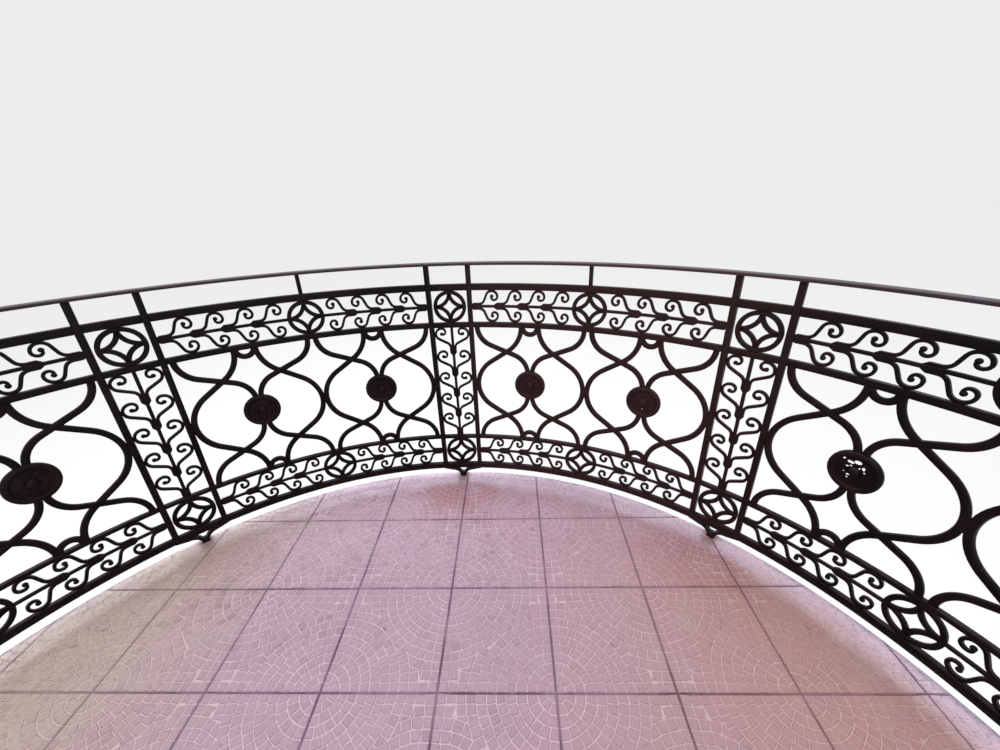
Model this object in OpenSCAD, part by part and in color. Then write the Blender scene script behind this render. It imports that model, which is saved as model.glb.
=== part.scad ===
// Half-round balcony: a rendered slab with a tiled floor, and a wrought-iron railing
// of five pilasters and four bays. Millimetres, +Z up. The wall is the plane y = 0 and
// the street lies towards -Y. The origin is the middle of the slab's back face.

/* [Plan] */
// Radius of the railing's centre line
rail_r = 1485; // [1300:5:1700]
// Angle from one pilaster to the next, seen from the curve's centre
pilaster_pitch = 43.6; // [43:0.1:44]
// Gap between the last posts and the wall, which the rail ends bridge
wall_gap = 15; // [8:1:40]
// Distance from the railing's centre line out to the edge of the tiles
edge_margin = 22.5; // [18:0.5:40]

/* [Slab] */
// Thickness of the tile layer
tile_t = 12; // [8:1:20]
// How far the tiles stand past the rendered edge
tile_lip = 8; // [4:1:15]
// Height of the rendered edge below the tiles
fascia_h = 268; // [200:2:320]
// Thickness of the rendered edge
fascia_t = 25; // [15:1:40]
// How far the soffit lies above the foot of the rendered edge
soffit_rise = 18; // [8:1:40]

/* [Railing levels] */
// Clear height under the bottom rail
foot_h = 49; // [40:1:60]
// Height of the bottom rail
bottom_rail_h = 27; // [20:1:32]
// Clear height of the lower frieze
lower_frieze_h = 141; // [130:1:144]
// Height of the rail under the arabesque panels
sill_rail_h = 15; // [12:1:22]
// Clear height of the arabesque panels
panel_h = 529; // [480:1:580]
// Height of the rail over the arabesque panels
head_rail_h = 21; // [15:1:26]
// Clear height of the upper frieze
upper_frieze_h = 134; // [126:1:144]
// Height of the rail over the upper frieze
top_rail_h = 26; // [18:1:30]
// Clear height between the top rail and the handrail
top_gap_h = 74; // [60:1:100]

/* [Bars] */
// Depth of the rails, from the floor side to the street side
rail_d = 18; // [16:1:22]
// Side of the square posts
post_w = 20; // [16:1:24]
// Distance between the two posts of a pilaster, centre to centre
post_spacing = 166; // [164:1:176]
// Width of the handrail
handrail_w = 40; // [34:1:50]
// Thickness of the handrail
handrail_t = 10; // [8:1:14]
// Side of the square stud in the middle of each bay, under the handrail
stud_w = 14; // [10:1:18]

/* [Scrolls] */
// Thickness of the scroll bars, seen from the front
scroll_t = 9.5; // [8:0.5:10]
// Thickness of the same bars where they run into the eye
scroll_tip_t = 7.5; // [6:0.5:8]
// Depth of the scroll bars
scroll_d = 12; // [8:1:14]
// Thickness of the stem between two scrolls
stem_t = 11; // [9:0.5:12]
// Length over which a pair of scrolls is bound to its stem
collar_l = 33; // [28:1:36]
// How much of the first collar of a row the post or rail at its start cuts off
collar_sink = 5; // [2:1:8]
// Length of the point at the start of a scroll bar, where it leaves the stem's face
point_l = 11; // [8:1:13]
// Radius of the small ball that ends a scroll
eye_r = 7.5; // [6:0.5:8]
// Radius of the bend where a scroll leaves the stem
root_r = 24; // [20:1:27]
// Radius of the volute's first, outer bend, as a share of the scroll's reach
volute_share = 0.345; // [0.32:0.005:0.36]
// Slope at which a frieze scroll rises from the stem
frieze_rise = 68; // [65:1:72]
// Slope at which a pilaster scroll leaves the stem
pilaster_rise = 62; // [58:1:66]
// Scroll pairs in half a bay of a frieze
frieze_pairs = 4; // [3:1:4]
// Scroll pairs in a pilaster
pilaster_pairs = 5; // [4:1:5]

/* [Rosettes] */
// Width of the bar of the rings and of the four arcs in them
ring_t = 15; // [12:0.5:17]

/* [Arabesques] */
// Width of the arabesque bars, seen from the front
arabesque_w = 20; // [17:0.5:22]
// Depth of the arabesque bars
arabesque_d = 14; // [10:1:16]
// Angle through which the long bulging bars bend
bulge_turn = 56; // [53:1:59]
// Angle through which the ogee bars bend
ogee_turn = 67; // [64:1:70]
// Distance from a panel's end to the top of the ogee nearest to it
ogee_inset = 16; // [13:0.5:19]
// Distance from a panel's middle to the end of a bulging bar, on its centre line
bulge_x = 36; // [33:0.5:39]
// Radius of the half ring between the ends of the bulging bars, on its centre line
half_ring_r = 30; // [27:0.5:32]
// Radius of the round medallion
medallion_r = 66; // [60:1:72]
// Height of the medallions' middle over the middle of the panel
medallion_lift = 4; // [0:0.5:8]
// Thickness of the medallion at its rim
medallion_rim_t = 24; // [20:1:30]
// Thickness of the medallion at its middle
medallion_mid_t = 40; // [30:1:46]

/* [Feet] */
// Width of the foot where it stands on the tiles
foot_w = 28; // [22:1:34]
// Thickness of the two arms of a foot
foot_t = 12; // [9:1:14]
// Depth of the foot
foot_d = 22; // [20:1:24]
// Thickness of the strap that ties a foot to the slab's edge
strap_t = 8; // [6:1:10]
// Width of that strap
strap_w = 24; // [18:1:30]
// How far the strap reaches down the slab's edge
strap_drop = 190; // [120:5:200]

/* [Hidden] */
// Angular step of the bends, and of the tight bends in the scrolls
bend_step = 10;
scroll_step = 23;
// How far a scroll is pressed flat where it meets a rail or a post
seat = 0.5;
// How far bars that are forged together run into each other
weld = 0.8;
// Joint line between two pieces of ironwork that are fixed side by side
joint = 0.2;
// Running clearance between a strap and its foot
strap_gap = 0.3;

edge_r = rail_r + edge_margin;
fascia_r = edge_r - tile_lip;
slab_t = fascia_h - soffit_rise;
floor_z = tile_t + slab_t / 2;
post_x = post_spacing / 2;
// Depth by which the curve falls back at the posts
post_back = rail_r - sqrt(rail_r * rail_r - post_x * post_x);
post_turn = asin(post_x / rail_r);
centre_out = rail_r * sin(2 * pilaster_pitch + post_turn - 90) + post_w / 2 + wall_gap;

bottom_rail_z = foot_h;
lower_frieze_z = bottom_rail_z + bottom_rail_h;
sill_rail_z = lower_frieze_z + lower_frieze_h;
panel_z = sill_rail_z + sill_rail_h;
head_rail_z = panel_z + panel_h;
upper_frieze_z = head_rail_z + head_rail_h;
top_rail_z = upper_frieze_z + upper_frieze_h;
stud_z = top_rail_z + top_rail_h;
handrail_z = stud_z + top_gap_h;

// Half a bay, from the face of the post to the bay's middle, along the curve
half_bay = rail_r * pilaster_pitch / 2 * PI / 180;
half_panel = (half_bay - post_x - post_w / 2) / 2;
half_panel_turn = (half_panel / rail_r) * 180 / PI;
joint_turn = joint / rail_r * 90 / PI;

function pilaster_angle(i) = (i - 3) * pilaster_pitch;
function bay_angle(i) = (i - 2.5) * pilaster_pitch;

// Stations [x, y, heading] along a bar. A move [radius, turn] is a bend, to the left
// when the turn is positive, and a move [0, length] is a straight.
function run(moves, x, y, h, step, i = 0) =
    i == len(moves) ? [[x, y, h]] :
    let (r = moves[i][0], t = moves[i][1])
    r == 0
        ? concat([[x, y, h]], run(moves, x + t * cos(h), y + t * sin(h), h, step, i + 1))
        : let (
              s = sign(t),
              n = ceil(abs(t) / step),
              cx = x - s * r * sin(h),
              cy = y + s * r * cos(h)
          )
          concat(
              [for (k = [0:n - 1]) let (a = h + t * k / n) [cx + s * r * sin(a), cy - s * r * cos(a), a]],
              run(moves, cx + s * r * sin(h + t), cy - s * r * cos(h + t), h + t, step, i + 1)
          );

function flank(st, w0, w1, s) =
    let (n = len(st) - 1)
    [for (i = [0:n])
        let (w = s * (w0 + (w1 - w0) * i / n) / 2, p = st[i])
        [p[0] - w * sin(p[2]), p[1] + w * cos(p[2])]];

function arc_points(cx, cy, r, a0, a1) =
    let (n = ceil(abs(a1 - a0) / bend_step))
    [for (k = [0:n]) let (a = a0 + (a1 - a0) * k / n) [cx + r * cos(a), cy + r * sin(a)]];

function reversed(v) = [for (i = [len(v) - 1:-1:0]) v[i]];

// Outline of a bar along its stations, w0 wide at the start and w1 at the end
function bar_outline(st, w0, w1) = concat(flank(st, w0, w1, 1), reversed(flank(st, w0, w1, -1)));

// Bend radius and straight of an S-bar that bends one way and back through the same
// turn, and so moves dx sideways over dy along its heading
function s_bend_r(dx, dy, turn) = (dy * sin(turn) - dx * cos(turn)) / (1 - cos(turn)) / 2;
function s_straight(dx, dy, turn) = (dx * (1 + cos(turn)) - dy * sin(turn)) / sin(turn);

module bar(moves, x, y, h, w0, w1, step = bend_step) {
    polygon(bar_outline(run(moves, x, y, h, step), w0, w1));
}

// From the curve's own frame, with z = 0 on the tiles, to the part's frame
module placed() {
    translate([0, -centre_out, floor_z]) children();
}

// Keeps what lies in front of the wall, in the curve's frame
module before_wall() {
    span = edge_r + 100;
    intersection() {
        children();
        translate([-span, -span, -tile_t - fascia_h - 1])
            cube([2 * span, span + centre_out, tile_t + fascia_h + handrail_z + 100]);
    }
}

// Stands a flat drawing upright on the railing's curve, a degrees round from the middle
module upright(a, depth) {
    rotate([0, 0, a])
        translate([0, -rail_r, 0])
            rotate([90, 0, 0])
                linear_extrude(height = depth, center = true) children();
}

// A rail of rectangular section right round the curve, cut off at the wall
module round_rail(z, w, h) {
    before_wall()
        translate([0, 0, z])
            rotate_extrude($fn = 180)
                translate([rail_r - w / 2, 0]) square([w, h]);
}

// An arc of bar that follows the curve from angle a0 to a1
module arc_bar(a0, a1, z0, z1, w) {
    rotate([0, 0, a0 - 90])
        rotate_extrude(angle = a1 - a0, $fn = 180)
            translate([rail_r - w / 2, z0]) square([w, z1 - z0]);
}

module posts_of(i, z0, z1) {
    rotate([0, 0, pilaster_angle(i)])
        for (s = [-1, 1])
            translate([s * post_x - post_w / 2, -rail_r + post_back - post_w / 2, z0])
                cube([post_w, post_w, z1 - z0]);
}

// One rail between the posts and past the last posts to the wall
module cut_rail(z, h) {
    difference() {
        round_rail(z, rail_d, h);
        for (i = [1:5]) posts_of(i, z - 1, z + h + 1);
    }
}

// A pair of scrolls on a stem that runs along +x. They lie on it from -collar_l to 0,
// start in a point, and touch the lines y = -reach and y = reach.
module scroll_pair(reach, rise) {
    volute_r = reach * volute_share;
    lead = (stem_t + scroll_t) / 2 - weld;
    climb = reach + seat - scroll_t / 2 - lead;
    straight = (climb - (root_r + volute_r) * (1 - cos(rise))) / sin(rise);
    moves = [
        [0, collar_l - point_l], [root_r, rise], [0, straight],
        [volute_r, -rise], [volute_r, -90], [volute_r * 0.62, -90],
        [volute_r * 0.46, -90], [volute_r * 0.28, -50]
    ];
    st = run(moves, point_l - collar_l, lead, 0, scroll_step);
    tip = st[len(st) - 1];
    point = [-collar_l, lead - scroll_t / 2];
    for (s = [0, 1])
        mirror([0, s]) {
            polygon(concat(bar_outline(st, scroll_t, scroll_tip_t), [point]));
            translate([tip[0], tip[1]]) circle(r = eye_r, $fn = 20);
        }
}

// How far a scroll reaches past its collar
function scroll_reach(reach, rise) =
    let (
        volute_r = reach * volute_share,
        lead = (stem_t + scroll_t) / 2 - weld,
        climb = reach + seat - scroll_t / 2 - lead,
        straight = (climb - (root_r + volute_r) * (1 - cos(rise))) / sin(rise)
    )
    (root_r + volute_r) * sin(rise) + straight * cos(rise) + volute_r + scroll_t / 2;

// A ring with four arcs that leave a star in its middle
module rosette(r) {
    mid = r - ring_t / 2;
    difference() {
        circle(r = r, $fn = 96);
        circle(r = r - ring_t, $fn = 96);
    }
    intersection() {
        circle(r = r - ring_t / 2, $fn = 96);
        for (sx = [-1, 1])
            for (sy = [-1, 1])
                translate([sx * mid, sy * mid])
                    difference() {
                        circle(r = mid + ring_t / 2, $fn = 96);
                        circle(r = mid - ring_t / 2, $fn = 96);
                    }
    }
}

module slab() {
    color([0.85, 0.80, 0.66])
        placed()
            before_wall()
                translate([0, 0, -tile_t - slab_t])
                    cylinder(r = fascia_r - fascia_t, h = slab_t, $fn = 180);
}

module fascia() {
    color([0.55, 0.62, 0.70])
        placed()
            before_wall()
                translate([0, 0, -tile_t - fascia_h])
                    difference() {
                        cylinder(r = fascia_r, h = fascia_h, $fn = 180);
                        translate([0, 0, -1])
                            cylinder(r = fascia_r - fascia_t, h = fascia_h + 2, $fn = 180);
                    }
}

module floor_tiles() {
    color([0.72, 0.56, 0.58])
        placed()
            before_wall()
                translate([0, 0, -tile_t]) cylinder(r = edge_r, h = tile_t, $fn = 180);
}

module iron() {
    color([0.17, 0.12, 0.11]) placed() children();
}

module handrail() {
    iron() round_rail(handrail_z, handrail_w, handrail_t);
}

module bay_studs() {
    iron()
        for (i = [1:4])
            rotate([0, 0, bay_angle(i)])
                translate([-stud_w / 2, -rail_r - stud_w / 2, stud_z])
                    cube([stud_w, stud_w, top_gap_h]);
}

module post_pair(i) {
    iron() posts_of(i, foot_h, handrail_z);
}

// Scroll tree between the two posts, with a rosette over it and one under it
module pilaster_ornament(i) {
    clear = post_x - post_w / 2;
    first = collar_l - collar_sink;
    pitch = (panel_h - first - scroll_reach(clear, pilaster_rise)) / (pilaster_pairs - 1);
    iron() {
        intersection() {
            upright(pilaster_angle(i), scroll_d) {
                translate([-stem_t / 2, panel_z]) square([stem_t, panel_h]);
                for (k = [0:pilaster_pairs - 1])
                    translate([0, panel_z + first + k * pitch])
                        rotate([0, 0, 90]) scroll_pair(clear, pilaster_rise);
            }
            rotate([0, 0, pilaster_angle(i)])
                translate([-clear, -rail_r - scroll_d, panel_z])
                    cube([2 * clear, 2 * scroll_d, panel_h]);
        }
        upright(pilaster_angle(i), scroll_d) {
            translate([0, upper_frieze_z + upper_frieze_h / 2]) rosette(upper_frieze_h / 2);
            translate([0, lower_frieze_z + lower_frieze_h / 2]) rosette(lower_frieze_h / 2);
        }
    }
}

// Two arms that swing down from under the posts to a narrow foot on the tiles, with a
// small opening between them
module foot(i) {
    outer_r = foot_h;
    inner_r = foot_h - foot_t;
    crotch_z = foot_t + 4;
    end_x = post_x + post_w / 2;
    half = concat(
        [[foot_w / 2, 0]],
        arc_points(outer_r, 0, inner_r, 180 - acos((outer_r - foot_w / 2) / inner_r), 90),
        [[end_x, inner_r], [end_x, outer_r]],
        arc_points(outer_r, 0, outer_r, 90, 180 - asin(crotch_z / outer_r))
    );
    iron()
        upright(pilaster_angle(i), foot_d)
            polygon(concat(half, [for (p = reversed(half)) [-p[0], p[1]]]));
}

// Straps from the feet over the edge of the tiles and down the slab's edge
module edge_straps() {
    turn = strap_w / edge_r * 180 / PI;
    start_r = rail_r + foot_d / 2 + strap_gap;
    curl_r = 12;
    lug_z = -strap_drop * 0.75;
    iron()
        for (i = [1:5])
            rotate([0, 0, pilaster_angle(i) - 90 - turn / 2])
                rotate_extrude(angle = turn, $fn = 180) {
                    translate([start_r, 0]) square([edge_r + strap_t - start_r, strap_t]);
                    bar([[0, strap_drop], [curl_r, 215]], edge_r + strap_t / 2, strap_t / 2, -90,
                        strap_t, strap_t, 15);
                    translate([fascia_r, lug_z]) square([tile_lip + 1, 16]);
                }
}

// One bay of a frieze: a stem from each post up to a rosette in the middle, with scrolls
module frieze_bay(i, z, h) {
    reach = h / 2;
    first = post_x + post_w / 2 + collar_l - collar_sink;
    ring_side = half_bay - reach;
    free = ring_side - first - scroll_reach(reach, frieze_rise) - stem_t;
    pitch = free / (frieze_pairs - 1);
    deg = 180 / PI / rail_r;
    ring_turn = asin((reach + joint) / (rail_r - scroll_d / 2));
    iron()
        rotate([0, 0, bay_angle(i)])
            difference() {
                intersection() {
                    union() {
                        for (s = [0, 1])
                            mirror([s, 0, 0]) {
                                arc_bar(-(half_bay - post_x) * deg, -ring_turn,
                                    z + reach - stem_t / 2, z + reach + stem_t / 2, scroll_d - 2);
                                for (k = [0:frieze_pairs - 1])
                                    translate([0, 0, z + reach])
                                        upright((first + k * pitch - half_bay) * deg, scroll_d)
                                            scroll_pair(reach, frieze_rise);
                            }
                        translate([0, 0, z + reach]) upright(0, scroll_d) rosette(reach);
                    }
                    translate([0, 0, z]) cylinder(r = edge_r + 100, h = h, $fn = 64);
                }
                for (s = [-1, 1])
                    rotate([0, 0, -bay_angle(i)]) posts_of(i + (s + 1) / 2, z - 1, z + h + 1);
            }
}

// Half a panel drawn flat, about its middle: two long bulging bars, four ogees that run
// to the medallion, and a half ring at the head and at the sill
module arabesque_half() {
    top = panel_h / 2 + 2;
    bulge_dx = half_panel + seat - arabesque_w / 2 - bulge_x;
    bulge_r = s_bend_r(bulge_dx, top, bulge_turn);
    bulge_l = s_straight(bulge_dx, top, bulge_turn);
    ogee_x = half_panel - ogee_inset;
    ogee_dx = ogee_x - arabesque_w / 2 + weld;
    for (s = [0, 1])
        mirror([s, 0]) {
            bar([[bulge_r, bulge_turn], [0, bulge_l], [bulge_r, -2 * bulge_turn],
                 [0, bulge_l], [bulge_r, bulge_turn]],
                bulge_x, top, -90, arabesque_w, arabesque_w);
            for (m = [0, 1]) {
                ogee_dy = top - medallion_r * 0.8 + (2 * m - 1) * medallion_lift;
                ogee_r = s_bend_r(ogee_dx, ogee_dy, ogee_turn);
                ogee_l = s_straight(ogee_dx, ogee_dy, ogee_turn);
                mirror([0, m])
                    bar([[ogee_r, -ogee_turn], [0, ogee_l], [ogee_r, ogee_turn]],
                        ogee_x, top, -90, arabesque_w, arabesque_w);
            }
        }
    for (m = [0, 1])
        mirror([0, m])
            translate([0, panel_h / 2])
                rotate([0, 0, 90])
                    difference() {
                        circle(r = half_ring_r + arabesque_w / 2, $fn = 64);
                        circle(r = half_ring_r - arabesque_w / 2, $fn = 64);
                    }
}

module arabesque(i) {
    iron()
        difference() {
            rotate([0, 0, bay_angle(i)])
                for (s = [0, 1])
                    mirror([s, 0, 0])
                        intersection() {
                            translate([0, 0, panel_z + panel_h / 2])
                                upright(half_panel_turn, 120) arabesque_half();
                            arc_bar(joint_turn, pilaster_pitch / 2,
                                panel_z, panel_z + panel_h, arabesque_d);
                        }
            posts_of(i, panel_z - 1, panel_z + panel_h + 1);
            posts_of(i + 1, panel_z - 1, panel_z + panel_h + 1);
            for (s = [-1, 1])
                medallion_axis(i, s) cylinder(r = medallion_r, h = 200, center = true, $fn = 96);
        }
}

// Puts +Z along the axis of one of the two medallions of a bay, out to the street
module medallion_axis(i, s) {
    rotate([0, 0, bay_angle(i) + s * half_panel_turn])
        translate([0, -rail_r, panel_z + panel_h / 2 + medallion_lift])
            rotate([90, 0, 0]) children();
}

// Round cast medallion, alike on both faces: a raised rim round a low dome
module medallions(i) {
    rim = medallion_rim_t / 2;
    face = [[0, medallion_mid_t / 2], [14, medallion_mid_t / 2 - 1], [26, rim],
            [medallion_r - 12, rim - 4], [medallion_r - 9, rim], [medallion_r - 3, rim],
            [medallion_r, rim - 3]];
    iron()
        for (s = [-1, 1])
            medallion_axis(i, s)
                rotate_extrude($fn = 96)
                    polygon(concat(face, [for (p = reversed(face)) [p[0], -p[1]]]));
}

slab();
fascia();
floor_tiles();
iron() cut_rail(bottom_rail_z, bottom_rail_h);  // bottom_rail
iron() cut_rail(sill_rail_z, sill_rail_h);  // sill_rail
iron() cut_rail(head_rail_z, head_rail_h);  // head_rail
iron() cut_rail(top_rail_z, top_rail_h);  // top_rail
handrail();
bay_studs();
for (i = [1:5]) {
    post_pair(i);
    pilaster_ornament(i);
    foot(i);
}
edge_straps();
for (i = [1:4]) {
    frieze_bay(i, upper_frieze_z, upper_frieze_h);
    frieze_bay(i, lower_frieze_z, lower_frieze_h);
    arabesque(i);
    medallions(i);
}
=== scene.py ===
"""Half-round balcony: a rendered slab with a tiled floor, and a wrought-iron railing of
five pilasters and four bays. Metres, +Z up. The wall is the plane y = 0 and the street
lies towards -Y."""

import math
import random

import bmesh
import bpy
from mathutils import Matrix, Vector, noise


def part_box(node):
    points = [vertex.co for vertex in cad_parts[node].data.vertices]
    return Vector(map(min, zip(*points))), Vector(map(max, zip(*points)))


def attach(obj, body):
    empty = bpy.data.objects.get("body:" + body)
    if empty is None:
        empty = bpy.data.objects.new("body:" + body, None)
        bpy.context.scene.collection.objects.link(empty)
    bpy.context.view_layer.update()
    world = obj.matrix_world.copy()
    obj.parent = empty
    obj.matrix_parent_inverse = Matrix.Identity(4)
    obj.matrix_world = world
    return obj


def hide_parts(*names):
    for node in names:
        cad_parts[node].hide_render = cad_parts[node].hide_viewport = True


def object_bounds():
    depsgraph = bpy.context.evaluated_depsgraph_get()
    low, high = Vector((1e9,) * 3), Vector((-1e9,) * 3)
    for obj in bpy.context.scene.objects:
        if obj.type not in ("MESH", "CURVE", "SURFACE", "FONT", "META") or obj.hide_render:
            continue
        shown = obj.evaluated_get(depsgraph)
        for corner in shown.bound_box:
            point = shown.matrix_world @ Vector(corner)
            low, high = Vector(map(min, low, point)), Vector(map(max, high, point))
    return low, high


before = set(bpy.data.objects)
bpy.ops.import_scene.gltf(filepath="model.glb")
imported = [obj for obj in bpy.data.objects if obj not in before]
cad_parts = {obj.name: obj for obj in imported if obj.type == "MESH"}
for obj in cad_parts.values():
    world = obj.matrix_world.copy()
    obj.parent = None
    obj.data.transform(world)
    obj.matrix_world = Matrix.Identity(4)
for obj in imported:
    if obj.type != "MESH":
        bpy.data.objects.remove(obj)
cad_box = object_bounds()
bpy.ops.object.select_all(action="DESELECT")


# Viewpoint, light and stage. The eye is in the balcony's doorway, behind a wide lens that
# looks out and down. Light is an open, pale sky. The stage is a plain pale floor below.
bpy.ops.object.camera_add(
    location=(-0.25246, 0.12664, 1.41024),
    rotation=(math.radians(65.893), math.radians(1.868), math.radians(-178.886)),
)
viewpoint = bpy.context.object
viewpoint.name = "viewpoint"
viewpoint.data.lens = 14.729
viewpoint.data.sensor_width = 36
viewpoint.data.clip_start = 0.01
bpy.context.scene.camera = viewpoint
bpy.context.scene.view_settings.view_transform = "Standard"


def new_material(name):
    """A material with its nodes cleared but for the output, and its node tree."""
    material = bpy.data.materials.new(name)
    material.use_nodes = True
    tree = material.node_tree
    tree.nodes.clear()
    tree.nodes.new("ShaderNodeOutputMaterial")
    return material, tree


def wire(tree, *joins):
    """Links nodes, each join given as a node, its output, a second node and its input."""
    for source, output, target, entry in joins:
        tree.links.new(source.outputs[output], target.inputs[entry])


def seen_white(tree):
    """A node whose output is 1 for rays from the eye, from gloss and through glass."""
    path = tree.nodes.new("ShaderNodeLightPath")
    before, output = path, "Is Camera Ray"
    for ray in ("Is Glossy Ray", "Is Transmission Ray"):
        either = tree.nodes.new("ShaderNodeMath")
        either.operation = "MAXIMUM"
        wire(tree, (before, output, either, 0), (path, ray, either, 1))
        before, output = either, 0
    return before


world = bpy.data.worlds.new("pale_sky")
bpy.context.scene.world = world
world.use_nodes = True
sky_tree = world.node_tree
sky_tree.nodes.clear()
sky_light = sky_tree.nodes.new("ShaderNodeBackground")
sky_light.inputs["Color"].default_value = (1.0, 1.0, 1.0, 1)
sky_light.inputs["Strength"].default_value = 0.78
sky_seen = sky_tree.nodes.new("ShaderNodeBackground")
sky_seen.inputs["Color"].default_value = (0.84, 0.84, 0.84, 1)
sky_mix = sky_tree.nodes.new("ShaderNodeMixShader")
sky_out = sky_tree.nodes.new("ShaderNodeOutputWorld")
wire(
    sky_tree,
    (seen_white(sky_tree), 0, sky_mix, "Fac"),
    (sky_light, 0, sky_mix, 1),
    (sky_seen, 0, sky_mix, 2),
    (sky_mix, 0, sky_out, "Surface"),
)

for lamp_name, place, aim, size, power in (
    ("sky_over_street", (1.0, -2.4, 5.4), (0, -0.8, 0.3), 4.0, 165),
    ("sky_over_door", (-1.0, 2.4, 3.8), (0, -1.2, 0.1), 3.0, 65),
):
    bpy.ops.object.light_add(type="AREA", location=place)
    lamp = bpy.context.object
    lamp.name = lamp_name
    lamp.rotation_euler = (Vector(aim) - Vector(place)).to_track_quat("-Z", "Y").to_euler()
    lamp.data.size = size
    lamp.data.energy = power

stage_gap = 0.45
bpy.ops.mesh.primitive_plane_add(size=120, location=(0, 0, cad_box[0].z - stage_gap))
stage = bpy.context.object
stage.name = "stage"
pale, pale_tree = new_material("stage_pale")
pale_diffuse = pale_tree.nodes.new("ShaderNodeBsdfDiffuse")
pale_diffuse.inputs["Color"].default_value = (0.50, 0.50, 0.50, 1)
pale_glow = pale_tree.nodes.new("ShaderNodeEmission")
pale_glow.inputs["Color"].default_value = (0.45, 0.45, 0.45, 1)
pale_sum = pale_tree.nodes.new("ShaderNodeAddShader")
pale_clear = pale_tree.nodes.new("ShaderNodeBsdfTransparent")
pale_side = pale_tree.nodes.new("ShaderNodeNewGeometry")
pale_mix = pale_tree.nodes.new("ShaderNodeMixShader")
wire(
    pale_tree,
    (seen_white(pale_tree), 0, pale_glow, "Strength"),
    (pale_diffuse, 0, pale_sum, 0),
    (pale_glow, 0, pale_sum, 1),
    (pale_side, "Backfacing", pale_mix, "Fac"),
    (pale_sum, 0, pale_mix, 1),
    (pale_clear, 0, pale_mix, 2),
    (pale_mix, 0, pale_tree.nodes["Material Output"], "Surface"),
)
stage.data.materials.append(pale)


# The curve that all the ironwork follows: a circle whose centre lies just outside the
# wall. Its radius and the heights of the rails are taken from the frame.
handrail_w = 0.040
handrail_low, handrail_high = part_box("handrail")
rail_r = handrail_high.x - handrail_w / 2
centre = Vector((0, handrail_low.y + handrail_high.x, 0))
pitch_turn = 43.6
pilaster_turns = [(i - 3) * pitch_turn for i in range(1, 6)]
bay_turns = [(i - 2.5) * pitch_turn for i in range(1, 5)]


def upright(turn, z=0.0):
    """Where a flat drawing stands on the curve, turn degrees round from its middle."""
    return (
        Matrix.Translation(centre + Vector((0, 0, z)))
        @ Matrix.Rotation(math.radians(turn), 4, "Z")
        @ Matrix.Translation((0, -rail_r, 0))
    )


# Slab. A half-round of masonry and concrete with a lime-rendered soffit and a painted,
# rendered edge, weathered under the lip of the tiles.
def finished_copy(node, name, edge, steps=2, angle=30):
    """A merged copy of a CAD node with its edges rounded off, which stands for the node."""
    piece = bpy.data.objects.new(name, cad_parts[node].data.copy())
    bpy.context.scene.collection.objects.link(piece)
    bpy.ops.object.select_all(action="DESELECT")
    piece.select_set(True)
    bpy.context.view_layer.objects.active = piece
    piece.data.materials.clear()
    bpy.ops.object.mode_set(mode="EDIT")
    bpy.ops.mesh.select_all(action="SELECT")
    bpy.ops.mesh.customdata_custom_splitnormals_clear()
    bpy.ops.mesh.remove_doubles(threshold=1e-6)
    bpy.ops.mesh.dissolve_limited(angle_limit=math.radians(0.2), use_dissolve_boundaries=False)
    bpy.ops.object.mode_set(mode="OBJECT")
    rounding = piece.modifiers.new("rounding", "BEVEL")
    rounding.width = edge
    rounding.segments = steps
    rounding.limit_method = "ANGLE"
    rounding.angle_limit = math.radians(angle)
    rounding.use_clamp_overlap = True
    bpy.ops.object.modifier_apply(modifier="rounding")
    bpy.ops.object.shade_smooth_by_angle(angle=math.radians(angle))
    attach(piece, "root")
    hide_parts(node)
    return piece


def group(name, inputs, outputs):
    """A shader node group with named sockets, and its two end nodes."""
    tree = bpy.data.node_groups.new(name, "ShaderNodeTree")
    for socket, kind, value in inputs:
        made = tree.interface.new_socket(socket, in_out="INPUT", socket_type=kind)
        if value is not None:
            made.default_value = value
    for socket, kind in outputs:
        tree.interface.new_socket(socket, in_out="OUTPUT", socket_type=kind)
    return tree, tree.nodes.new("NodeGroupInput"), tree.nodes.new("NodeGroupOutput")


# Soft-edged patches of dirt, bleaching or rust: noise through a narrow ramp.
patch_group, patch_in, patch_out = group(
    "patches",
    [
        ("Vector", "NodeSocketVector", None),
        ("Scale", "NodeSocketFloat", 5.0),
        ("Detail", "NodeSocketFloat", 4.0),
        ("From", "NodeSocketFloat", 0.45),
        ("To", "NodeSocketFloat", 0.65),
    ],
    [("Mask", "NodeSocketFloat")],
)
patch_noise = patch_group.nodes.new("ShaderNodeTexNoise")
patch_range = patch_group.nodes.new("ShaderNodeMapRange")
patch_range.interpolation_type = "SMOOTHSTEP"
wire(
    patch_group,
    (patch_in, "Vector", patch_noise, "Vector"),
    (patch_in, "Scale", patch_noise, "Scale"),
    (patch_in, "Detail", patch_noise, "Detail"),
    (patch_noise, "Fac", patch_range, "Value"),
    (patch_in, "From", patch_range, "From Min"),
    (patch_in, "To", patch_range, "From Max"),
    (patch_range, "Result", patch_out, "Mask"),
)


def object_place(tree, scale=(1, 1, 1)):
    """Object coordinates through a Mapping node, so that a pattern can be stretched."""
    coords = tree.nodes.new("ShaderNodeTexCoord")
    mapping = tree.nodes.new("ShaderNodeMapping")
    mapping.inputs["Scale"].default_value = scale
    tree.links.new(coords.outputs["Object"], mapping.inputs["Vector"])
    return mapping.outputs["Vector"]


def split(tree, vector):
    """The three parts of a vector."""
    parts = tree.nodes.new("ShaderNodeSeparateXYZ")
    tree.links.new(vector, parts.inputs[0])
    return parts.outputs


def patches(tree, vector, scale, low, high, detail=4.0):
    """The mask of a patches group placed in this material."""
    node = tree.nodes.new("ShaderNodeGroup")
    node.node_tree = patch_group
    tree.links.new(vector, node.inputs["Vector"])
    for socket, value in (("Scale", scale), ("Detail", detail), ("From", low), ("To", high)):
        node.inputs[socket].default_value = value
    return node.outputs["Mask"]


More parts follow.
